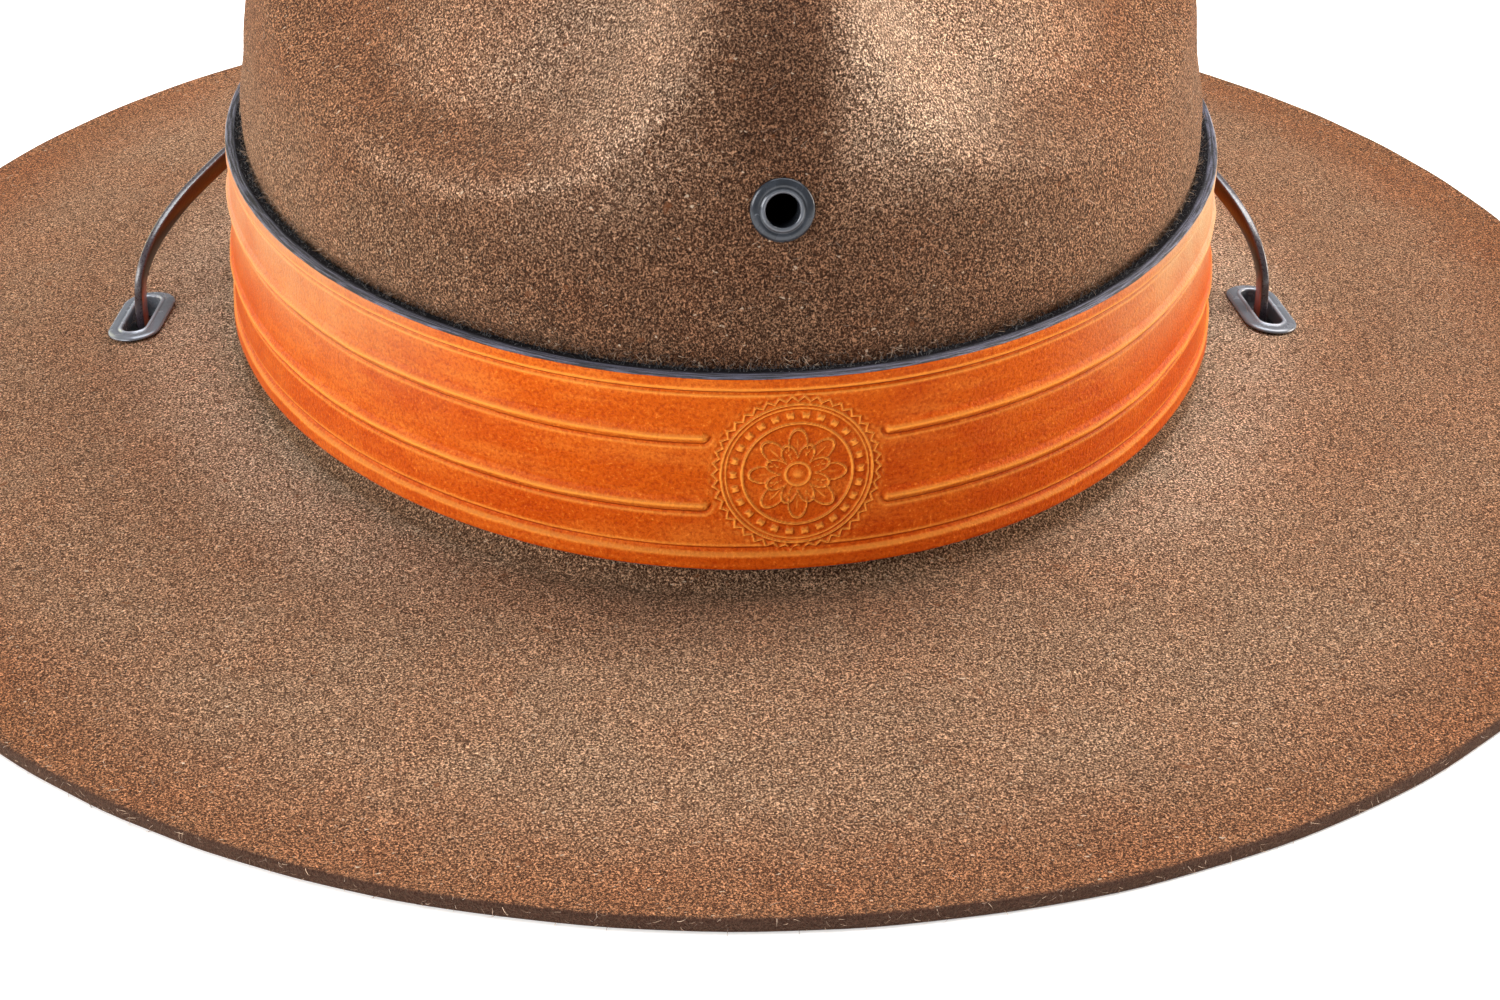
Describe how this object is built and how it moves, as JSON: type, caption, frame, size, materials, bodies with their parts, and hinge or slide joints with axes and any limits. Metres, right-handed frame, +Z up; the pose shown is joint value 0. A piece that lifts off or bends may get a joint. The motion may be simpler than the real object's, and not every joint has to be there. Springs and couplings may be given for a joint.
{
  "type": "campaign hat",
  "caption": "Wide flat-brimmed felt hat with a four-pinch peaked crown, tooled leather band, metal eyelets and a narrow leather strap in one loop.",
  "frame": {"origin": "middle of the brim's outline, on the surface that the brim rests on", "axes": "+X to the wearer's left, which is the right side seen from in front, +Y towards the back of the hat, +Z up"},
  "size_m": [0.3358, 0.3676, 0.1423],
  "materials": {
    "felt": "short-napped brown fur felt, matte, with fine lighter fibres",
    "band_leather": "orange-tan vegetable-tanned leather with a satin grain and a dark burnished top edge",
    "eyelet_metal": "blue-black gunmetal, semi-gloss",
    "strap_leather": "dark brown glazed leather with a tan flesh side"
  },
  "bodies": {
    "root": {"felt_hat": "felt", "hat_band": "band_leather", "crown_eyelet": "eyelet_metal", "slot_eyelet_left": "eyelet_metal", "slot_eyelet_right": "eyelet_metal", "chin_strap": "strap_leather", "strap_keeper": "strap_leather"}
  },
  "joints": []
}
